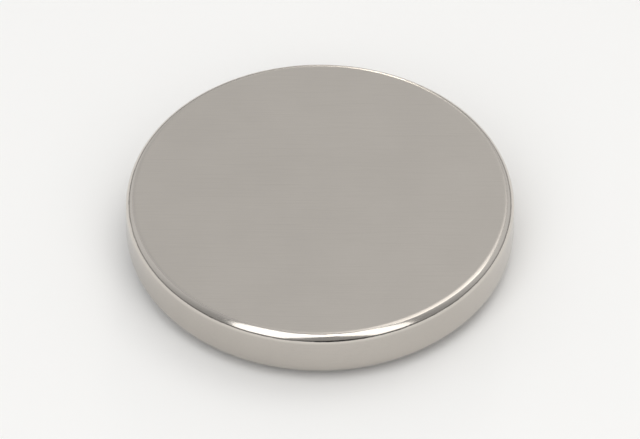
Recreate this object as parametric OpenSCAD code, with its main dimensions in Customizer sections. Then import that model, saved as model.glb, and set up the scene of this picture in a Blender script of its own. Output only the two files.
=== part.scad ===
// Lithium coin cell, lying with its positive face up.
// A pressed can is rolled shut over a plastic seal and a stepped cap, and the charge lies between them.
// Lengths are millimetres. The origin is the middle of the cap's contact face, and +Z is up.

/* [Cell] */
// Outer diameter of the can
cell_d = 20; // [16:0.1:24.5]
// Height from the cap's contact face to the positive face
cell_h = 3.2; // [2.8:0.1:5]
// Gap left between rolled pieces that touch in the real cell
fit_gap = 0.02; // [0.01:0.01:0.04]

/* [Positive can] */
// Sheet thickness of the can
can_t = 0.25; // [0.2:0.01:0.3]
// Outer radius of the pressed corner between base and wall
can_corner_r = 0.5; // [0.4:0.05:0.8]
// Flat width of the rolled lip beyond its bend
lip_land = 0.15; // [0.1:0.05:0.3]
// Rounding left on the cut edge of the lip
lip_edge_r = 0.06; // [0.02:0.01:0.08]

/* [Negative cap] */
// Sheet thickness of the cap
cap_t = 0.25; // [0.2:0.01:0.3]
// How far the contact face stands out below the rolled lip
cap_rise = 0.25; // [0.15:0.05:0.4]
// Outer radius of the two bends of the step
step_bend_r = 0.4; // [0.35:0.01:0.45]
// Inner radius of the bend between shoulder and skirt
skirt_bend_r = 0.1; // [0.05:0.01:0.2]

/* [Seal] */
// Thickness of the seal between can and cap
seal_t = 0.3; // [0.2:0.01:0.4]
// Width of the seal that shows inside the rolled lip
seal_show = 0.35; // [0.2:0.05:0.5]
// Open groove between the seal's edge and the step of the cap
groove_w = 0.2; // [0.17:0.01:0.4]
// Thickness of the seal under the edge of the skirt
seal_foot_t = 0.38; // [0.25:0.01:0.5]
// Thickness of the lip that stands inside the skirt
seal_lip_t = 0.25; // [0.15:0.01:0.35]
// Height of the lip that stands inside the skirt
seal_lip_h = 0.5; // [0.2:0.05:0.6]

/* [Electrodes] */
// Thickness of the lithium disc
lithium_t = 0.6; // [0.3:0.05:0.7]
// Distance from the lithium's edge to the bend of the cap
lithium_margin = 0.05; // [0.02:0.01:0.5]
// Thickness of the separator
separator_t = 0.15; // [0.08:0.01:0.2]
// Distance from the top of the separator's rim up to the can's base
separator_rim_drop = 1; // [0.5:0.05:1.3]
// Gap between the separator's rim and the wall of the step
separator_gap = 0.05; // [0.02:0.01:0.15]
// Gap between the cathode and the separator's rim
cathode_gap = 0.05; // [0.02:0.01:0.15]
// Chamfer on both edges of the cathode
cathode_chamfer = 0.12; // [0.05:0.01:0.2]

/* [Collector grid] */
// Thickness of the grid
grid_t = 0.1; // [0.06:0.01:0.15]
// Distance from the grid's edge to the edge of the cathode
grid_margin = 0.6; // [0.3:0.05:1.5]
// Width of the plain border round the meshes
grid_border = 0.4; // [0.3:0.05:0.8]
// Spacing of the meshes along their long diagonal
mesh_long = 2; // [1.6:0.1:3]
// Spacing of the meshes along their short diagonal
mesh_short = 1.2; // [1:0.1:1.8]
// Width of the strands between meshes
strand_w = 0.28; // [0.15:0.01:0.35]

/* [Hidden] */
$fn = 120;

// The cap's skirt, the seal and the can's lip are rolled about one circle, from the inside out.
cap_roll_r = skirt_bend_r + cap_t;
seal_roll_in_r = cap_roll_r + fit_gap;
seal_roll_r = seal_roll_in_r + seal_t;
can_roll_in_r = seal_roll_r + fit_gap;
can_roll_r = can_roll_in_r + can_t;

// Middle of that circle in the half section
roll_x = cell_d / 2 - can_roll_r;
roll_y = cap_rise + can_roll_r;

// Radii of the walls, from the outside in
can_r = cell_d / 2;
can_in_r = can_r - can_t;
seal_r = can_in_r - fit_gap;
seal_in_r = seal_r - seal_t;
skirt_r = seal_in_r - fit_gap;
skirt_in_r = skirt_r - cap_t;
seal_lip_r = skirt_in_r - fit_gap;
seal_lip_in_r = seal_lip_r - seal_lip_t;

// Edges that show from below, from the outside in
lip_edge_x = roll_x - lip_land;
seal_edge_x = lip_edge_x - seal_show;
step_r = seal_edge_x - groove_w;
step_in_r = step_r - cap_t;
contact_r = step_r - step_bend_r;

// Inner radius of every bend in the cap's step, and of the can's corner
step_bend_in_r = step_bend_r - cap_t;
can_corner_in_r = can_corner_r - can_t;
seal_corner_r = can_corner_in_r - fit_gap;

// Heights of the closure
lip_top = cap_rise + can_t;
seal_land_low = lip_top + fit_gap;
seal_land_top = seal_land_low + seal_t;
shoulder_low = seal_land_top + fit_gap;
shoulder_top = shoulder_low + cap_t;
base_low = cell_h - can_t;
seal_top = base_low - fit_gap;
skirt_top = seal_top - seal_foot_t;

// The electrodes are stacked from the cap's inside to the can's base.
lithium_low = cap_t;
lithium_r = contact_r - lithium_margin;
separator_low = lithium_low + lithium_t;
separator_r = step_in_r - separator_gap;
separator_in_r = separator_r - separator_t;
separator_top = base_low - separator_rim_drop;
cathode_low = separator_low + separator_t;
cathode_top = base_low - grid_t;
cathode_r = separator_in_r - cathode_gap;
grid_r = cathode_r - grid_margin;

// Rectangle of the half section, between two radii and two heights
module strip(x0, x1, y0, y1) {
    translate([x0, y0])
        square([x1 - x0, y1 - y0]);
}

// Quarter of a ring about one point, in the quadrant that the two signs give
module bend(x, y, outer_r, inner_r, side_x, side_y) {
    translate([x, y])
        intersection() {
            difference() {
                circle(r = outer_r);
                circle(r = inner_r);
            }
            translate([side_x < 0 ? -outer_r : 0, side_y < 0 ? -outer_r : 0])
                square(outer_r);
        }
}

// Cup with its base on top and its lip rolled in under the seal
module positive_can() {
    color([0.68, 0.66, 0.635])
        rotate_extrude() {
            strip(0, can_r - can_corner_r, base_low, cell_h);
            bend(can_r - can_corner_r, cell_h - can_corner_r, can_corner_r, can_corner_in_r, 1, 1);
            strip(can_in_r, can_r, roll_y, cell_h - can_corner_r);
            bend(roll_x, roll_y, can_roll_r, can_roll_in_r, 1, -1);
            lip_land_section();
        }
}

// Flat end of the lip, with its cut edge slightly rounded
module lip_land_section() {
    strip(lip_edge_x + lip_edge_r, roll_x, cap_rise, lip_top);
    strip(lip_edge_x, roll_x, cap_rise + lip_edge_r, lip_top - lip_edge_r);
    translate([lip_edge_x + lip_edge_r, cap_rise + lip_edge_r])
        circle(r = lip_edge_r);
    translate([lip_edge_x + lip_edge_r, lip_top - lip_edge_r])
        circle(r = lip_edge_r);
}

// Ring that lines the can's wall, turns in under the skirt's edge and shows inside the rolled lip
module sealing_gasket() {
    color([0.9, 0.9, 0.87])
        rotate_extrude() {
            seal_wall_section();
            bend(roll_x, roll_y, seal_roll_r, seal_roll_in_r, 1, -1);
            strip(seal_edge_x + seal_t / 2, roll_x, seal_land_low, seal_land_top);
            translate([seal_edge_x + seal_t / 2, seal_land_low + seal_t / 2])
                circle(d = seal_t);
            seal_lip_section();
        }
}

// Wall and foot of the seal, rounded where they lie in the can's inner corner
module seal_wall_section() {
    difference() {
        union() {
            strip(seal_in_r, seal_r, roll_y, seal_top);
            strip(seal_lip_in_r, seal_r, skirt_top, seal_top);
        }
        difference() {
            strip(seal_r - seal_corner_r, seal_r, seal_top - seal_corner_r, seal_top);
            translate([seal_r - seal_corner_r, seal_top - seal_corner_r])
                circle(r = seal_corner_r);
        }
    }
}

// Lip that holds the skirt's edge from inside, with a rounded tip
module seal_lip_section() {
    tip_y = skirt_top - seal_lip_h + seal_lip_t / 2;
    strip(seal_lip_in_r, seal_lip_r, tip_y, skirt_top);
    translate([seal_lip_in_r + seal_lip_t / 2, tip_y])
        circle(d = seal_lip_t);
}

// Stepped cap with its contact face below and its skirt standing in the seal
module negative_cap() {
    color([0.62, 0.61, 0.59])
        rotate_extrude() {
            strip(0, contact_r, 0, cap_t);
            bend(contact_r, step_bend_r, step_bend_r, step_bend_in_r, 1, -1);
            strip(step_in_r, step_r, step_bend_r, shoulder_low - step_bend_in_r);
            bend(step_r + step_bend_in_r, shoulder_low - step_bend_in_r, step_bend_r, step_bend_in_r, -1, 1);
            strip(step_r + step_bend_in_r, roll_x, shoulder_low, shoulder_top);
            bend(roll_x, roll_y, cap_roll_r, skirt_bend_r, 1, -1);
            strip(skirt_in_r, skirt_r, roll_y, skirt_top);
        }
}

// Disc of foil pressed onto the inside of the cap
module lithium_anode() {
    color([0.78, 0.79, 0.8])
        translate([0, 0, lithium_low])
            cylinder(r = lithium_r, h = lithium_t);
}

// Thin cup that keeps the lithium and the cathode apart, bent round the cathode's chamfer
module separator_cup() {
    bend_x = separator_in_r - cathode_chamfer;
    bend_y = cathode_low + cathode_chamfer;
    color([0.95, 0.95, 0.93])
        rotate_extrude() {
            strip(0, bend_x, separator_low, cathode_low);
            bend(bend_x, bend_y, cathode_chamfer + separator_t, cathode_chamfer, 1, -1);
            strip(separator_in_r, separator_r, bend_y, separator_top);
        }
}

// Pressed tablet with both edges chamfered
module cathode_pellet() {
    color([0.13, 0.13, 0.13])
        rotate_extrude()
            polygon([
                [0, cathode_low],
                [cathode_r - cathode_chamfer, cathode_low],
                [cathode_r, cathode_low + cathode_chamfer],
                [cathode_r, cathode_top - cathode_chamfer],
                [cathode_r - cathode_chamfer, cathode_top],
                [0, cathode_top],
            ]);
}

// Disc of expanded metal: lozenge meshes in staggered rows inside a plain border
module collector_grid() {
    color([0.55, 0.55, 0.54])
        translate([0, 0, cathode_top])
            linear_extrude(height = grid_t)
                difference() {
                    circle(r = grid_r);
                    intersection() {
                        circle(r = grid_r - grid_border);
                        mesh_holes();
                    }
                }
}

// Lozenges whose middles lie inside the border
module mesh_holes() {
    inner_r = grid_r - grid_border;
    columns = ceil(inner_r / mesh_long);
    rows = ceil(2 * inner_r / mesh_short);
    for (row = [-rows:rows], column = [-columns - 1:columns]) {
        x = (column + (row % 2 == 0 ? 0 : 0.5)) * mesh_long;
        y = row * mesh_short / 2;
        if (norm([x, y]) < inner_r)
            translate([x, y])
                lozenge();
    }
}

// One mesh opening: the cell of the pattern less half a strand on each side
module lozenge() {
    half_long = mesh_long / 2;
    half_short = mesh_short / 2;
    middle_to_side = half_long * half_short / norm([half_long, half_short]);
    open_share = 1 - strand_w / 2 / middle_to_side;
    polygon([
        [half_long * open_share, 0],
        [0, half_short * open_share],
        [-half_long * open_share, 0],
        [0, -half_short * open_share],
    ]);
}

positive_can();
sealing_gasket();
negative_cap();
lithium_anode();
separator_cup();
cathode_pellet();
collector_grid();
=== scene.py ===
# %% [markdown]
# # A lithium coin cell, pressed, moulded and finished
# A coin cell is a small tin with a lid. The pressed metal can is one pole, the stepped cap is the
# other, and a plastic seal keeps them apart. The can's lip is rolled over the seal, and that roll
# is what holds the cell shut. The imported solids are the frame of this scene, in metres, and
# nothing in it is moved or resized. The cell lies with its positive face up.

# %% Load the frame
import math

import bmesh
import bpy
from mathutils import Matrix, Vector


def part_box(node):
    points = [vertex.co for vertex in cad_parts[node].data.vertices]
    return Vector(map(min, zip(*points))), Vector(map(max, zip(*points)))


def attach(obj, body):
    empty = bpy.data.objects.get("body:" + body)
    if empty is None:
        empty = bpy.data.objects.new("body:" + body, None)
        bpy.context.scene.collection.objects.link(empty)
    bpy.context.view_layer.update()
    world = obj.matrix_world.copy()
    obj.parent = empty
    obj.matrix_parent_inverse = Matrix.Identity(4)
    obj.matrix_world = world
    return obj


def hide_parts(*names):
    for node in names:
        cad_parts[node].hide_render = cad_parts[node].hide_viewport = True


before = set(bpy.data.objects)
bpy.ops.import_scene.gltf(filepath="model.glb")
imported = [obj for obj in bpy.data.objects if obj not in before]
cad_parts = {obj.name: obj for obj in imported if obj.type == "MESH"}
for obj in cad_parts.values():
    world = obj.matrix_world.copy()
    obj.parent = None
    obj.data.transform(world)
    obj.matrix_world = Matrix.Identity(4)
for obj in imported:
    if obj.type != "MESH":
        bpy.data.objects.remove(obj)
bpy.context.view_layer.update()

MM = 0.001
NEAR = 0.0005 * MM  # lengths this close count as the same
print("nodes:", sorted(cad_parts))

# %% [markdown]
# ## Sizes from the frame
# The three outer pieces are modelled again as clean rings of four-sided faces, because a bright
# rolled rim shows every uneven triangle, and a plain solid has only as many steps as it needs.
# The new pieces have to lie exactly on their solids. A turned piece is all rings, and the
# smallest and the largest ring at one height say where a flat ends and where a bend begins, so
# every size is read from the solids instead of being typed again. The thickness of a sheet shows
# in what lies against it: the grid touches the inside of the can, and the lithium that of the cap.

# %% Read rings from a solid


def near(a, b):
    """Whether two lengths are the same."""
    return abs(a - b) < NEAR


def radius_of(point):
    """Distance of a point from the cell's axis."""
    return math.hypot(point.x, point.y)


def points_of(node, low=-1.0, high=1.0):
    """A node's points between two heights."""
    return [v.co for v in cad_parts[node].data.vertices if low - NEAR < v.co.z < high + NEAR]


def ring_span(node, low, high):
    """Smallest and largest radius of a node's points between two heights."""
    radii = [radius_of(p) for p in points_of(node, low, high)]
    return min(radii), max(radii)


# %% Sizes of the can
can_low, can_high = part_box("positive_can")
can_r = can_high.x
base_z = can_high.z
lip_z = can_low.z
inside_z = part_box("collector_grid")[1].z
can_t = base_z - inside_z
can_corner_r = can_r - ring_span("positive_can", base_z, base_z)[1]
lip_start, roll_x = ring_span("positive_can", lip_z, lip_z)
can_roll_r = can_r - roll_x
lip_r = ring_span("positive_can", lip_z, base_z)[0]
lip_edge_r = lip_start - lip_r
print("can in mm: sheet %.2f, corner %.2f, roll %.2f" % (can_t / MM, can_corner_r / MM, can_roll_r / MM))

# %% Sizes of the cap
cap_low, cap_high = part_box("negative_cap")
contact_z = cap_low.z
cap_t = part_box("lithium_anode")[0].z - contact_z
contact_r = ring_span("negative_cap", contact_z, contact_z)[1]
step_r = ring_span("negative_cap", contact_z, lip_z + can_t)[1]
step_bend_r = step_r - contact_r
skirt_r = cap_high.x
skirt_top = cap_high.z
skirt_bend_r = skirt_r - roll_x
shoulder_z = min(p.z for p in points_of("negative_cap") if radius_of(p) > roll_x - NEAR)
step_high = shoulder_z - contact_z
print("cap in mm: contact face %.2f across, step %.2f high" % (2 * contact_r / MM, step_high / MM))

# %% Sizes of the seal
seal_low, seal_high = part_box("sealing_gasket")
seal_r = seal_high.x
gap = can_r - can_t - seal_r
seal_in_r = skirt_r + gap
seal_t = seal_r - seal_in_r
seal_edge_r = ring_span("sealing_gasket", seal_low.z, seal_low.z + seal_t)[0]
seal_corner_r = can_corner_r - can_t - gap
lip_out_r = skirt_r - cap_t - gap
lip_in_r = ring_span("sealing_gasket", skirt_top, seal_high.z)[0]
upper_points = points_of("sealing_gasket", shoulder_z + cap_t)
lip_tip_z = min(p.z for p in upper_points if radius_of(p) < lip_out_r - NEAR)
roll_z = lip_z + can_roll_r
print("seal in mm: wall %.2f thick, %.2f shows" % (seal_t / MM, (lip_r - seal_edge_r) / MM))

# %% [markdown]
# ## Working by hand, in code
# An operator changes what is selected, and everything that was loaded is still selected. So a
# piece starts with nothing selected, and its rings are picked by their radius and height, as a
# hand would pick them with the mouse. Every ring has the same number of sides, a multiple of
# four, so that the outline touches the frame's box on all four sides.

# %% Selecting rings
SIDES = 256
CREASE_ANGLE = math.radians(40)


def on_ring(radius, height):
    """A test for points at one radius and height."""
    return lambda p: near(radius_of(p), radius) and near(p.z, height)


def select_edges(test):
    """Select only the edges whose two ends pass a test, in edit mode."""
    bpy.ops.mesh.select_mode(type="EDGE")
    bpy.ops.mesh.select_all(action="DESELECT")
    mesh = bmesh.from_edit_mesh(bpy.context.object.data)
    chosen = [e for e in mesh.edges if test(e.verts[0].co) and test(e.verts[1].co)]
    for edge in chosen:
        edge.select_set(True)
    bmesh.update_edit_mesh(bpy.context.object.data)


def deselect_objects():
    """Start with nothing selected."""
    bpy.ops.object.select_all(action="DESELECT")


def smooth_faces(piece):
    """Smooth shading, with the large flats keeping their own direction up to the bends."""
    bpy.ops.object.shade_smooth_by_angle(angle=CREASE_ANGLE)
    bpy.ops.object.modifier_add(type="WEIGHTED_NORMAL")
    piece.modifiers[-1].keep_sharp = True
    bpy.ops.object.modifier_apply(modifier=piece.modifiers[-1].name)
    print(piece.name, "has", len(piece.data.polygons), "faces")


# %% [markdown]
# ## Pressing a sheet
# Can and cap are both pressed from flat discs, so they are modelled the way they are made. A flat
# disc is the blank. Its edge is extruded down and in, or up and out, which gives the folds of the
# finished piece as sharp corners. Each fold is then bevelled to its real radius. Only the outer
# skin is drawn, and Solidify gives it the thickness of the sheet, so the inner bends come out
# smaller by one thickness, as in real sheet metal. A spin of the whole section would give the
# same shape, but its folds could not be changed one by one.

# %% Press a sheet from a blank
BEND_STEPS = 14
EDGE_STEPS = 4


def blank(name, radius, height):
    """A flat disc with the piece's name, in edit mode."""
    deselect_objects()
    middle = (0, 0, height)
    bpy.ops.mesh.primitive_circle_add(vertices=SIDES, radius=radius, fill_type="NGON", location=middle)
    bpy.ops.object.transform_apply(location=True)
    bpy.context.object.name = name
    bpy.ops.object.mode_set(mode="EDIT")
    return bpy.context.object


def draw_edge(start, end):
    """Extrude the ring at one (radius, height) to another."""
    select_edges(on_ring(*start))
    bpy.ops.mesh.extrude_edges_move(TRANSFORM_OT_translate={"value": (0, 0, end[1] - start[1])})
    share = end[0] / start[0]
    bpy.ops.transform.resize(value=(share, share, 1), center_override=(0, 0, end[1]))


def round_ring(ring, radius, steps):
    """Bevel the ring at one (radius, height)."""
    select_edges(on_ring(*ring))
    bpy.ops.mesh.bevel(offset=radius, offset_type="OFFSET", segments=steps, profile=0.5, affect="EDGES")


def press(name, rings, bends, thickness, edge_r):
    """A pressed sheet: its outer skin goes through the rings, and each bend is rounded."""
    piece = blank(name, *rings[0])
    for start, end in zip(rings, rings[1:]):
        draw_edge(start, end)
    for ring, radius in zip(rings, bends):
        round_ring(ring, radius, BEND_STEPS)
    bpy.ops.mesh.select_all(action="SELECT")
    bpy.ops.mesh.normals_make_consistent(inside=False)
    bpy.ops.object.mode_set(mode="OBJECT")
    bpy.ops.object.modifier_add(type="SOLIDIFY")
    sheet = piece.modifiers[-1]
    sheet.thickness = thickness
    sheet.offset = -1
    sheet.use_even_offset = True
    bpy.ops.object.modifier_apply(modifier=sheet.name)
    break_edge(piece, rings[-1], rings[-2], thickness, edge_r)
    return piece


def break_edge(piece, last, before, thickness, edge_r):
    """Round the two corners of the cut edge at the end of the sheet."""
    bpy.ops.object.mode_set(mode="EDIT")
    if near(last[1], before[1]):
        other = (last[0], last[1] + thickness)
    else:
        other = (last[0] - thickness, last[1])
    for corner in (last, other):
        round_ring(corner, edge_r, EDGE_STEPS)
    bpy.ops.object.mode_set(mode="OBJECT")
    smooth_faces(piece)


# %% [markdown]
# ## The positive can
# This is the piece that the eye meets: a wide flat face, a bright corner, a straight wall, and
# the lip that curls in underneath. The roll is a quarter circle about the same centre line as
# the bends of the seal and the cap inside it.

# %% Model the can
can_rings = [(can_r, base_z), (can_r, lip_z), (lip_r, lip_z)]
can = press("can_shell", can_rings, [can_corner_r, can_roll_r], can_t, lip_edge_r)
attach(can, "root")
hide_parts("positive_can")

# %% [markdown]
# ## The negative cap
# The cap starts as a smaller blank. It is drawn up into a step, out into a shoulder that the
# can's lip grips through the seal, and up again into a skirt that stands in the seal.

# %% Model the cap
cap_rings = [(step_r, contact_z), (step_r, shoulder_z), (skirt_r, shoulder_z), (skirt_r, skirt_top)]
cap_bends = [step_bend_r, step_bend_r - cap_t, skirt_bend_r]
cap = press("cap_shell", cap_rings, cap_bends, cap_t, lip_edge_r)
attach(cap, "root")
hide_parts("negative_cap")

# %% [markdown]
# ## The seal
# The seal is moulded, and its thickness changes, so a sheet with one thickness can't make it.
# Its cut face is drawn flat instead: a rectangle for the wall, whose lower edge is spun through a
# quarter turn to make the roll, and whose upper edge is extruded into the foot and the lip that
# hold the skirt. The corners are rounded, the filling is deleted, and the outline is spun once
# round the axis.

# %% Draw the cut face of the seal


def pick(test):
    """Pick edges of the upright cut face by a test of radius and height."""
    select_edges(lambda p: test(p.x, p.z))


def extrude_by(along_r, along_z):
    """Extrude the picked edge within the cut face."""
    bpy.ops.mesh.extrude_edges_move(TRANSFORM_OT_translate={"value": (along_r, 0, along_z)})


def draw_wall():
    """An upright rectangle, the straight part of the seal's wall."""
    deselect_objects()
    middle = ((seal_in_r + seal_r) / 2, 0, (roll_z + skirt_top) / 2)
    bpy.ops.mesh.primitive_plane_add(size=seal_t, location=middle, rotation=(math.pi / 2, 0, 0))
    bpy.ops.object.transform_apply(location=True, rotation=True)
    bpy.ops.object.mode_set(mode="EDIT")
    bpy.ops.transform.resize(value=(1, 1, (skirt_top - roll_z) / seal_t), center_override=middle)
    return bpy.context.object


seal = draw_wall()
seal.name = "seal_ring"
pick(lambda r, z: near(z, roll_z))
bpy.ops.mesh.spin(steps=BEND_STEPS, angle=-math.pi / 2, center=(roll_x, 0, roll_z), axis=(0, 1, 0))
pick(lambda r, z: near(r, roll_x))
extrude_by(seal_edge_r - roll_x, 0)
pick(lambda r, z: near(z, skirt_top))
extrude_by(0, seal_high.z - skirt_top)
pick(lambda r, z: near(r, seal_in_r) and z > skirt_top - NEAR)
extrude_by(lip_out_r - seal_in_r, 0)
pick(lambda r, z: near(r, lip_out_r))
extrude_by(lip_in_r - lip_out_r, 0)
pick(lambda r, z: r < lip_out_r + NEAR and near(z, skirt_top))
extrude_by(0, lip_tip_z - skirt_top)
cut_face = bmesh.from_edit_mesh(seal.data)
print("cut face in mm2: %.4f" % (sum(face.calc_area() for face in cut_face.faces) / MM**2))

# %% Round the corners, empty the outline and spin it


def round_corners(test, radius):
    """Bevel picked corners of the cut face."""
    bpy.ops.mesh.select_mode(type="VERT")
    bpy.ops.mesh.select_all(action="DESELECT")
    mesh = bmesh.from_edit_mesh(seal.data)
    for corner in mesh.verts:
        if test(corner.co.x, corner.co.z):
            corner.select_set(True)
    bmesh.update_edit_mesh(seal.data)
    bpy.ops.mesh.bevel(offset=radius, offset_type="OFFSET", segments=BEND_STEPS // 2, affect="VERTICES")


round_corners(lambda r, z: near(r, seal_edge_r), seal_t / 2)
round_corners(lambda r, z: near(z, lip_tip_z), (lip_out_r - lip_in_r) / 2)
round_corners(lambda r, z: near(r, seal_r) and near(z, seal_high.z), seal_corner_r)
bpy.ops.mesh.select_mode(type="FACE")
bpy.ops.mesh.select_all(action="SELECT")
bpy.ops.mesh.region_to_loop()
bpy.ops.mesh.select_all(action="INVERT")
bpy.ops.mesh.delete(type="EDGE")
bpy.ops.mesh.select_all(action="SELECT")
bpy.ops.mesh.spin(steps=SIDES, angle=2 * math.pi, center=(0, 0, 0), axis=(0, 0, 1))
bpy.ops.mesh.select_all(action="SELECT")
bpy.ops.mesh.remove_doubles(threshold=NEAR / 5)
bpy.ops.mesh.normals_make_consistent(inside=False)
bpy.ops.object.mode_set(mode="OBJECT")
smooth_faces(seal)
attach(seal, "root")
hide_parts("sealing_gasket")

# %% [markdown]
# ## How the finishes are built
# Metal has little colour of its own. What makes pressed steel look like steel is how its
# roughness and its relief change: fine lines from rolling the sheet, burnished bends where it
# was drawn over a die, and rings where a tool ran round. Image textures would need drawing and
# would stretch over the bends, so every finish is worked out from the place on the object. An
# effect that several finishes use is a node group, a small machine that is built once and gets
# other numbers in each material. Places are turned into millimetres first, so that the numbers
# are the real sizes of the marks.

# %% Helpers for nodes


def node(tree, kind, inputs=(), **settings):
    """Add a shader node. An input is given a value, or a socket to be linked to."""
    made = tree.nodes.new("ShaderNode" + kind)
    for key, value in settings.items():
        setattr(made, key, value)
    for key, value in dict(inputs).items():
        if isinstance(value, bpy.types.NodeSocket):
            tree.links.new(value, made.inputs[key])
        else:
            made.inputs[key].default_value = value
    return made


def maths(tree, operation, *values):
    """The result of a Math node."""
    return node(tree, "Math", enumerate(values), operation=operation).outputs[0]


def vector_maths(tree, operation, *values):
    """The result of a Vector Math node."""
    made = node(tree, "VectorMath", enumerate(values), operation=operation)
    return made.outputs["Value" if operation in ("LENGTH", "DOT_PRODUCT") else "Vector"]


def between(tree, value, low, high, start=0.0, end=1.0):
    """A value from start to end, smoothly turned into one from low to high."""
    sizes = {"Value": value, "From Min": start, "From Max": end, "To Min": low, "To Max": high}
    return node(tree, "MapRange", sizes, interpolation_type="SMOOTHSTEP").outputs["Result"]


NOISE_SPAN = (0.3, 0.7)  # most of a noise lies between these


def noise(tree, place, scale, detail=2.0):
    """The height of a noise pattern, about 0.5 on average."""
    return node(tree, "TexNoise", {"Vector": place, "Scale": scale, "Detail": detail}).outputs["Fac"]


# %% Helpers for groups
VECTOR, COLOUR, NUMBER = "NodeSocketVector", "NodeSocketColor", "NodeSocketFloat"


def start_group(name, inputs, result, kind):
    """A node group with named inputs and one result: its tree, and what goes in and out."""
    tree = bpy.data.node_groups.new(name, "ShaderNodeTree")
    for label, socket_kind in inputs.items():
        tree.interface.new_socket(name=label, in_out="INPUT", socket_type=socket_kind)
    tree.interface.new_socket(name=result, in_out="OUTPUT", socket_type=kind)
    return tree, tree.nodes.new("NodeGroupInput").outputs, tree.nodes.new("NodeGroupOutput").inputs


def use(tree, group, **inputs):
    """Place a group in a material with its own values, and return its result."""
    return node(tree, "Group", inputs, node_tree=group).outputs[0]


# %% [markdown]
# ### Tone
# No plated or moulded surface has one colour all over. The plating is a little thicker here and
# thinner there, which shifts the tone by a few hundredths over some millimetres, and the marks of
# the tools catch a little more or less light. The group multiplies a colour by a soft, large
# noise and by the marks that it is given.

# %% Group: tone
uneven_tone, given, out = start_group(
    "uneven_tone",
    {"Place": VECTOR, "Shade": COLOUR, "Drift": NUMBER, "Marks": NUMBER, "Contrast": NUMBER},
    "Shade",
    COLOUR,
)
patches = noise(uneven_tone, given["Place"], 0.3, 3.0)
drift = between(uneven_tone, patches, -1.0, 1.0, *NOISE_SPAN)
drifted = maths(uneven_tone, "MULTIPLY_ADD", drift, given["Drift"], 1.0)
off_average = maths(uneven_tone, "SUBTRACT", given["Marks"], 0.5)
marked = maths(uneven_tone, "MULTIPLY_ADD", off_average, given["Contrast"], 1.0)
factor = maths(uneven_tone, "MULTIPLY", drifted, marked)
uneven_tone.links.new(vector_maths(uneven_tone, "MULTIPLY", given["Shade"], factor), out["Shade"])
print("group", uneven_tone.name, "has", len(uneven_tone.nodes), "nodes")

# %% [markdown]
# ### Streaks
# Sheet metal is rolled, and the rolls leave fine lines along the strip. The same pattern in other
# sizes gives the fibres of a fleece. The place is turned and measured in lengths and widths of one
# line, and a noise is read there whose middle value is folded into a sharp ridge.

# %% Group: streaks
streaks, given, out = start_group(
    "streaks", {"Place": VECTOR, "Turn": NUMBER, "Width": NUMBER, "Length": NUMBER}, "Ridge", NUMBER
)
turn = {"Vector": given["Place"], "Angle": given["Turn"]}
turned = node(streaks, "VectorRotate", turn, rotation_type="Z_AXIS").outputs[0]
sizes = {"X": given["Length"], "Y": given["Width"], "Z": given["Width"]}
one_line = node(streaks, "CombineXYZ", sizes).outputs[0]
line = noise(streaks, vector_maths(streaks, "DIVIDE", turned, one_line), 1.0)
off_middle = maths(streaks, "ABSOLUTE", maths(streaks, "MULTIPLY_ADD", line, 2.0, -1.0))
streaks.links.new(maths(streaks, "SUBTRACT", 1.0, off_middle), out["Ridge"])
print("group", streaks.name, "has", len(streaks.nodes), "nodes")

# %% [markdown]
# ### Rings of a tool
# The lip is rolled over by a die that turns or slides round the cell, and a mould for a ring is
# turned on a lathe. Both leave rings about the axis. The distance from the axis and the height
# make a flat map of the section, and a noise on that map is the same all the way round, apart
# from a slow drift that lets the rings fade in and out.

# %% Group: rings of a tool
tool_rings, given, out = start_group("tool_rings", {"Place": VECTOR, "Pitch": NUMBER}, "Rings", NUMBER)
across = vector_maths(tool_rings, "MULTIPLY", given["Place"], (1, 1, 0))
from_axis = vector_maths(tool_rings, "LENGTH", across)
height = node(tool_rings, "SeparateXYZ", {0: given["Place"]}).outputs["Z"]
fading = noise(tool_rings, given["Place"], 0.4)
section = node(tool_rings, "CombineXYZ", {"X": from_axis, "Y": height, "Z": fading}).outputs[0]
in_pitches = vector_maths(tool_rings, "DIVIDE", section, given["Pitch"])
tool_rings.links.new(noise(tool_rings, in_pitches, 1.0), out["Rings"])
print("group", tool_rings.name, "has", len(tool_rings.nodes), "nodes")

# %% [markdown]
# ### Dimples
# The contact face of the cap is pressed between textured dies, so that a spring contact bites,
# and a pressed tablet is made of grains. Both are cells: a Voronoi pattern gives each point its
# distance from the middle of the nearest cell.

# %% Group: dimples
dimples, given, out = start_group("dimples", {"Place": VECTOR, "Size": NUMBER}, "Height", NUMBER)
in_cells = vector_maths(dimples, "DIVIDE", given["Place"], given["Size"])
from_middle = node(dimples, "TexVoronoi", {"Vector": in_cells, "Scale": 1.0}).outputs["Distance"]
dimples.links.new(between(dimples, from_middle, 0.0, 1.0, 0.1, 0.6), out["Height"])
print("group", dimples.name, "has", len(dimples.nodes), "nodes")

# %% [markdown]
# ### Bends
# A drawing die rubs the bends and the walls of a pressing bright, and leaves its flats as the
# rolls made them. A bend starts where the surface stops being level, so the upright part of the
# smooth normal is enough to tell flats from bends, and no radius has to be typed again.

# %% Group: bends of a pressing
FLAT_ABOVE = 0.999
BENT_BELOW = 0.9
bends, given, out = start_group("bends", {"Normal": VECTOR}, "Bent", NUMBER)
upright = maths(bends, "ABSOLUTE", node(bends, "SeparateXYZ", {0: given["Normal"]}).outputs["Z"])
bends.links.new(between(bends, upright, 1.0, 0.0, BENT_BELOW, FLAT_ABOVE), out["Bent"])
print("group", bends.name, "has", len(bends.nodes), "nodes")

# %% [markdown]
# ## Materials
# Each material has one Principled shader. What is the same all over, such as being metal, is set
# on the shader itself, and what varies comes from the groups. The fine relief goes through a Bump
# node, whose distance is the depth of the marks: a few thousandths of a millimetre for lines in
# metal, and about two hundredths for dimples, fibres and grains. Shades are linear, with a fourth
# number that says that they are solid.

# %% Helpers for materials


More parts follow.
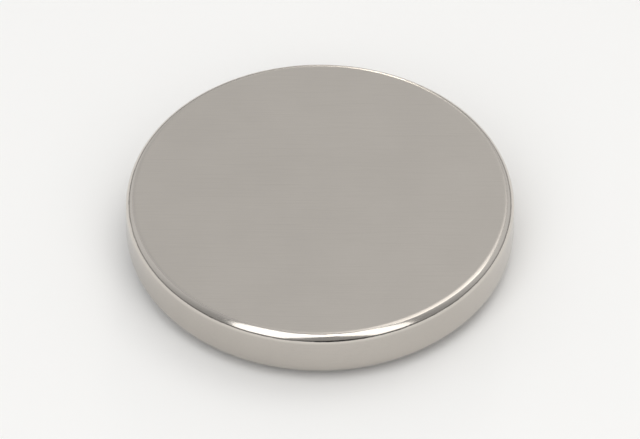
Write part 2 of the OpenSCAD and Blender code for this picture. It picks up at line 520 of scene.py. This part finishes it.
def start_material(name, **constants):
    """A material: its tree, its shader and the place in millimetres."""
    material = bpy.data.materials.new(name)
    material.use_nodes = True
    tree = material.node_tree
    shader = tree.nodes["Principled BSDF"]
    for key, value in constants.items():
        shader.inputs[key.replace("_", " ")].default_value = value
    where = {"Vector": node(tree, "TexCoord").outputs["Object"], "Scale": (1 / MM, 1 / MM, 1 / MM)}
    return material, tree, shader, node(tree, "Mapping", where).outputs["Vector"]


def smooth_normal(tree):
    """The direction of the surface, before any relief."""
    return node(tree, "TexCoord").outputs["Normal"]


def relief(tree, shader, height, depth):
    """Lead a height through a Bump node to the shader; the depth is in metres."""
    bump = node(tree, "Bump", {"Height": height, "Distance": depth})
    tree.links.new(bump.outputs["Normal"], shader.inputs["Normal"])


def finish_with(material, piece):
    """Give a new piece its material."""
    piece.data.materials.clear()
    piece.data.materials.append(material)


# %% [markdown]
# ### Nickel-plated steel of the can
# The flat face is satin: it shows the fine lines of rolled sheet and reflects the room as a soft
# grey. The corner and the wall were burnished by the drawing die, so they reflect lamps sharply.
# The upper corner is painted a lighter tone, a painted highlight that lets the lamps show white
# there. The bends group tells the flats from the bends, and the upward part of the normal tells
# the upper corner from the roll.

# %% Material of the can
satin_shade = (0.505, 0.474, 0.437, 1)
# the lighter shade of the upper corner is a painted highlight
corner_highlight_shade = (0.62, 0.583, 0.538, 1)
can_finish, tree, shader, place = start_material("nickel_plated_steel", Metallic=1.0)
bent = use(tree, bends, Normal=smooth_normal(tree))
upward = node(tree, "SeparateXYZ", {0: smooth_normal(tree)}).outputs["Z"]
# painted highlight: the upper corner, where the normal points up in a bend, takes the lighter shade
painted_highlight_share = maths(tree, "MULTIPLY", between(tree, upward, 0.0, 1.0, 0.0, 0.3), bent)
shades = {0: painted_highlight_share, 6: satin_shade, 7: corner_highlight_shade}  # a share and two colours
can_shade = node(tree, "Mix", shades, data_type="RGBA").outputs[2]
grain = use(tree, streaks, Place=place, Turn=0.0, Width=0.07, Length=4.0)
tone = use(tree, uneven_tone, Place=place, Shade=can_shade, Drift=0.015, Marks=grain, Contrast=0.12)
tree.links.new(tone, shader.inputs["Base Color"])
rings = use(tree, tool_rings, Place=place, Pitch=0.05)
satin = between(tree, grain, 0.38, 0.28, 0.3, 1.0)
burnished = between(tree, rings, 0.09, 0.15, *NOISE_SPAN)
tree.links.new(between(tree, bent, satin, burnished), shader.inputs["Roughness"])
relief(tree, shader, between(tree, bent, grain, rings), 0.002 * MM)
finish_with(can_finish, can)
print(can_finish.name, "has", len(tree.nodes), "nodes")

# %% [markdown]
# ### Stainless steel of the cap
# The cap is a little cooler and duller than the can. Its contact face has the fine dimples of
# the dies. Towards the bends they run out into an even height, and the bends are burnished like
# those of the can.

# %% Material of the cap
cap_shade = (0.46, 0.45, 0.43, 1)
cap_finish, tree, shader, place = start_material("stainless_steel", Metallic=1.0)
even_height = 0.8
dents = use(tree, dimples, Place=place, Size=0.22)
tone = use(tree, uneven_tone, Place=place, Shade=cap_shade, Drift=0.03, Marks=dents, Contrast=0.10)
tree.links.new(tone, shader.inputs["Base Color"])
rings = use(tree, tool_rings, Place=place, Pitch=0.05)
bent = use(tree, bends, Normal=smooth_normal(tree))
matt = between(tree, dents, 0.30, 0.42)
burnished = between(tree, rings, 0.14, 0.22, *NOISE_SPAN)
tree.links.new(between(tree, bent, matt, burnished), shader.inputs["Roughness"])
relief(tree, shader, between(tree, bent, dents, even_height), 0.015 * MM)
finish_with(cap_finish, cap)
print(cap_finish.name, "has", len(tree.nodes), "nodes")

# %% [markdown]
# ### Polypropylene of the seal
# The seal is natural polypropylene, a milky plastic that lets a little light in. Its mould was
# turned, which leaves faint rings.

# %% Material of the seal
seal_shade = (0.86, 0.85, 0.81, 1)
seal_finish, tree, shader, place = start_material(
    "natural_polypropylene", Subsurface_Weight=0.15, Subsurface_Scale=0.2 * MM, IOR=1.49
)
rings = use(tree, tool_rings, Place=place, Pitch=0.08)
tone = use(tree, uneven_tone, Place=place, Shade=seal_shade, Drift=0.02, Marks=rings, Contrast=0.04)
tree.links.new(tone, shader.inputs["Base Color"])
tree.links.new(between(tree, rings, 0.38, 0.50, *NOISE_SPAN), shader.inputs["Roughness"])
relief(tree, shader, rings, 0.002 * MM)
finish_with(seal_finish, seal)
print(seal_finish.name, "has", len(tree.nodes), "nodes")

# %% [markdown]
# ## Finishes of the pieces inside
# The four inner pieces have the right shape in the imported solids, so they stay and only get
# their real surfaces. The material slots of their objects are pointed to the new materials, which
# leaves the meshes as they were.

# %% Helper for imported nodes


def refinish(name, material):
    """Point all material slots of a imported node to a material."""
    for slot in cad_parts[name].material_slots:
        slot.link = "OBJECT"
        slot.material = material
    print(name, "is", material.name)


# %% [markdown]
# ### Lithium foil
# Lithium is a soft grey metal. Rolling leaves broad streaks in it, and the surface dulls in
# patches even in dry air, so the dull patches are both darker and rougher.

# %% Material of the anode
foil_shade = (0.56, 0.57, 0.58, 1)
foil_finish, tree, shader, place = start_material("rolled_lithium", Metallic=1.0)
grain = use(tree, streaks, Place=place, Turn=0.5, Width=0.16, Length=6.0)
tone = use(tree, uneven_tone, Place=place, Shade=foil_shade, Drift=0.14, Marks=grain, Contrast=0.10)
tree.links.new(tone, shader.inputs["Base Color"])
dull = noise(tree, place, 0.5, 4.0)
tree.links.new(between(tree, dull, 0.38, 0.62, 0.35, 0.65), shader.inputs["Roughness"])
relief(tree, shader, grain, 0.003 * MM)
refinish("lithium_anode", foil_finish)

# %% [markdown]
# ### Fleece of the separator
# The separator is a thin fleece of melted plastic fibres. Three layers of streaks in different
# directions lie over each other, and the highest one wins, as the uppermost fibre would.

# %% Material of the separator
fleece_shade = (0.83, 0.83, 0.80, 1)
fleece_finish, tree, shader, place = start_material("fibre_fleece", Sheen_Weight=0.2)
fibre_turns = (0.2, 1.3, 2.4)
fibres = 0.0
for turn in fibre_turns:
    layer = use(tree, streaks, Place=place, Turn=turn, Width=0.05, Length=0.9)
    fibres = maths(tree, "MAXIMUM", fibres, layer)
tone = use(tree, uneven_tone, Place=place, Shade=fleece_shade, Drift=0.03, Marks=fibres, Contrast=0.12)
tree.links.new(tone, shader.inputs["Base Color"])
tree.links.new(between(tree, fibres, 0.95, 0.75, 0.6, 1.0), shader.inputs["Roughness"])
relief(tree, shader, fibres, 0.02 * MM)
refinish("separator_cup", fleece_finish)

# %% [markdown]
# ### Manganese dioxide tablet
# The tablet is a black powder with carbon, pressed hard. It is nearly black, dull, and grainy,
# and single grains shine a little more than the rest.

# %% Material of the tablet
mix_shade = (0.035, 0.034, 0.034, 1)
mix_finish, tree, shader, place = start_material("pressed_black_mix")
grains = use(tree, dimples, Place=place, Size=0.11)
tone = use(tree, uneven_tone, Place=place, Shade=mix_shade, Drift=0.15, Marks=grains, Contrast=0.6)
tree.links.new(tone, shader.inputs["Base Color"])
tree.links.new(between(tree, grains, 0.62, 0.9), shader.inputs["Roughness"])
relief(tree, shader, grains, 0.02 * MM)
refinish("cathode_pellet", mix_finish)

# %% [markdown]
# ### Expanded grid
# The grid is slit and stretched sheet. It is plain stainless steel with the fine lines of the
# sheet, a little brighter than the cap because it is not textured.

# %% Material of the grid
grid_shade = (0.52, 0.51, 0.49, 1)
grid_finish, tree, shader, place = start_material("expanded_stainless", Metallic=1.0)
grain = use(tree, streaks, Place=place, Turn=1.1, Width=0.05, Length=2.0)
tone = use(tree, uneven_tone, Place=place, Shade=grid_shade, Drift=0.05, Marks=grain, Contrast=0.10)
tree.links.new(tone, shader.inputs["Base Color"])
tree.links.new(between(tree, grain, 0.34, 0.24), shader.inputs["Roughness"])
relief(tree, shader, grain, 0.001 * MM)
refinish("collector_grid", grid_finish)

# %% [markdown]
# ## Floor and light
# The cell lies on a pale board in a light tent. Metal shows nothing but its surroundings, so the
# surroundings are planned from what the photograph shows on the metal: an even grey face, and a
# rim of the same tone with two highlights in front, a dark line between them and one more
# highlight behind. The levels of tent and lamps together make the board come out about as pale as
# it is written. The board lies a hair under the contact face, so that the two never share a plane.

# %% The board
board_sides = 96
board_reach = 0.8
board_drop = 0.02 * MM
board_place = (0, 0, contact_z - board_drop)
deselect_objects()
bpy.ops.mesh.primitive_circle_add(
    vertices=board_sides, radius=board_reach, fill_type="NGON", location=board_place
)
board = bpy.context.object
board.name = "pale_board"
print("board is", 2 * board_reach, "m across")

# %% [markdown]
# ### A board that can be looked through from below
# To look at the underside, the camera goes below the board. So the back of the board is clear,
# and a ray that has come through it finds the front clear too, which lets the light of the tent
# reach the underside. Seen from above, no ray comes through the back, so the board is solid and
# the shadow at the foot of the cell stays as dark as it should be.

# %% Material of the board
board_shade = (0.93, 0.93, 0.925, 1)
board_finish, tree, shader, place = start_material(
    "matt_board", Base_Color=board_shade, Roughness=0.9, Specular_IOR_Level=0.1
)
came_through = node(tree, "LightPath").outputs["Transparent Depth"]
behind = node(tree, "NewGeometry").outputs["Backfacing"]
clear = maths(tree, "GREATER_THAN", maths(tree, "ADD", came_through, behind), 0.5)
through = node(tree, "BsdfTransparent").outputs[0]
board_or_clear = node(tree, "MixShader", {0: clear, 1: shader.outputs[0], 2: through})
tree.links.new(board_or_clear.outputs[0], tree.nodes["Material Output"].inputs["Surface"])
finish_with(board_finish, board)
print(board_finish.name, "has", len(tree.nodes), "nodes")

# %% [markdown]
# ### The tent
# The tent is a world whose brightness changes with the direction. The flat face mirrors what is
# high up behind the cell, and the cloth is even there. The near corner turns through a quarter
# circle, so it mirrors everything from there, over the top and down to the floor in front, in a
# band half a millimetre wide, and each step in the tent becomes a line along that band. So the
# gap between cloth and board is dark, the side of the camera is dimmer, and a flat opening low in
# front is darker still, which draws the dark line of the rim. Under the board the tent is bright
# again, for a look at the underside. The height of a direction is its upward part, from -1
# straight down to 1 straight up. A ramp only holds shares of one, so each level is kept as a
# share of the brightest. Directions are stretched upwards before they are compared with the
# middle of the opening, which makes the opening flat.

# %% World of the tent
TENT_LEVELS = (
    (-1.0, 1.0),
    (-0.2, 0.80),
    (0.0, 0.28),
    (0.12, 0.34),
    (0.27, 0.72),
    (0.45, 0.72),
    (0.72, 0.72),
    (1.0, 0.64),
)
brightest = max(level for up, level in TENT_LEVELS)
FRONT_SHARE = 0.5
OPENING_SHARE = 0.12
OPENING_EDGE, OPENING_INSIDE = 0.91, 0.975
flatness = Vector((1, 1, 2.5))
opening_middle = Vector((0.12, -1, 0.13 * flatness.z)).normalized()
world = bpy.data.worlds.new("light_tent")
world.use_nodes = True
tree = world.node_tree
direction = node(tree, "TexCoord").outputs["Generated"]
parts = node(tree, "SeparateXYZ", {0: direction}).outputs
ramp = node(tree, "ValToRGB", {0: maths(tree, "MULTIPLY_ADD", parts["Z"], 0.5, 0.5)})
stops = ramp.color_ramp.elements
stops.remove(stops[1])
for up, _ in TENT_LEVELS[1:]:
    stops.new((up + 1) / 2)
for stop, (up, level) in zip(stops, TENT_LEVELS):
    share = level / brightest
    stop.color = (share, share, share, 1)
cloth = maths(tree, "MULTIPLY", ramp.outputs["Color"], brightest)
dimmer_front = between(tree, parts["Y"], FRONT_SHARE, 1.0, -0.5, 0.45)
flattened = vector_maths(tree, "NORMALIZE", vector_maths(tree, "MULTIPLY", direction, flatness))
nearness = vector_maths(tree, "DOT_PRODUCT", flattened, opening_middle)
opening = between(tree, nearness, 1.0, OPENING_SHARE, OPENING_EDGE, OPENING_INSIDE)
level_there = maths(tree, "MULTIPLY", maths(tree, "MULTIPLY", cloth, dimmer_front), opening)
background = tree.nodes["Background"]
background.inputs["Color"].default_value = (1, 1, 1, 1)
tree.links.new(level_there, background.inputs["Strength"])
bpy.context.scene.world = world
print("tent levels", [(round(s.position * 2 - 1, 2), round(s.color[0] * brightest, 2)) for s in stops])

# %% [markdown]
# ### Soft boxes
# A panel of light shows in a bend as a highlight. Its width says how far the highlight runs along
# the rim, and its height how far it reaches across the bend. The left box gives the white
# highlight on the near rim and the right box the warmer one. The high box, to the right behind
# the cell, lets the warm one fade out along the inside of the rim, and a small box low behind the
# cell gives the one on the far rim. A panel's light is added to that of the tent behind it, and a
# face of level 1 takes 4 watts for each square metre. The camera looks past the panels, so that
# they hide nothing in other views.

# %% Four panels
BOX_DISTANCE = 0.5
WATTS_PER_LEVEL = 4
TARGET = Vector((0, 0, (contact_z + base_z) / 2))


def from_cell(azimuth, elevation):
    """A direction from the cell. Azimuth 0 is the side of the camera, and 90 is its right."""
    a, e = math.radians(azimuth), math.radians(elevation)
    return Vector((math.sin(a) * math.cos(e), -math.cos(a) * math.cos(e), math.sin(e)))


def soft_box(name, azimuth, elevation, width, height, level, tint=(1, 1, 1)):
    """A lamp panel of a size in metres that looks at the cell, with a brightness of its face."""
    lamp = bpy.data.lights.new(name, "AREA")
    lamp.shape = "RECTANGLE"
    lamp.size = width
    lamp.size_y = height
    lamp.energy = WATTS_PER_LEVEL * level * width * height
    lamp.color = tint
    panel = bpy.data.objects.new(name, lamp)
    bpy.context.scene.collection.objects.link(panel)
    panel.location = TARGET + from_cell(azimuth, elevation) * BOX_DISTANCE
    panel.rotation_euler = from_cell(azimuth, elevation).to_track_quat("Z", "Y").to_euler()
    panel.visible_camera = False
    print(name, "at", azimuth, "and", elevation, "degrees")


soft_box("left_box", -32, 51, width=0.27, height=0.70, level=1.2)
soft_box("right_box", 38, 51, width=0.20, height=0.70, level=1.2, tint=(1.0, 0.98, 0.95))
soft_box("high_box", 135, 62, width=0.30, height=0.28, level=0.9, tint=(1.0, 0.97, 0.92))
soft_box("far_box", 174, 17, width=0.05, height=0.12, level=5.0, tint=(1.0, 0.96, 0.88))

# %% [markdown]
# ## Camera
# The photograph was taken from some distance, because the ellipse of the flat face is as wide
# below its middle as above it. So a very long lens stands far away, at 45.8 degrees above the
# table, which is the angle whose sine is the ellipse's height over its width. Half of each is
# given in pixels of the photograph. The field is wide enough for the cell and some board around.

# %% The camera
HALF_WIDE, HALF_HIGH = 44.9, 32.2
elevation = math.degrees(math.asin(HALF_HIGH / HALF_WIDE))
eye = bpy.data.cameras.new("eye")
eye.lens = 600
field_wide = 33 * MM
eye_distance = field_wide * eye.lens / eye.sensor_width
eye.clip_start = eye_distance / 10
eye.clip_end = eye_distance * 10
camera = bpy.data.objects.new("eye", eye)
bpy.context.scene.collection.objects.link(camera)
camera.location = TARGET + from_cell(0, elevation) * eye_distance
camera.rotation_euler = from_cell(0, elevation).to_track_quat("Z", "Y").to_euler()
bpy.context.scene.camera = camera
bpy.context.scene.view_settings.view_transform = "Standard"
print("camera at %.1f degrees, %.2f m away" % (elevation, eye_distance))
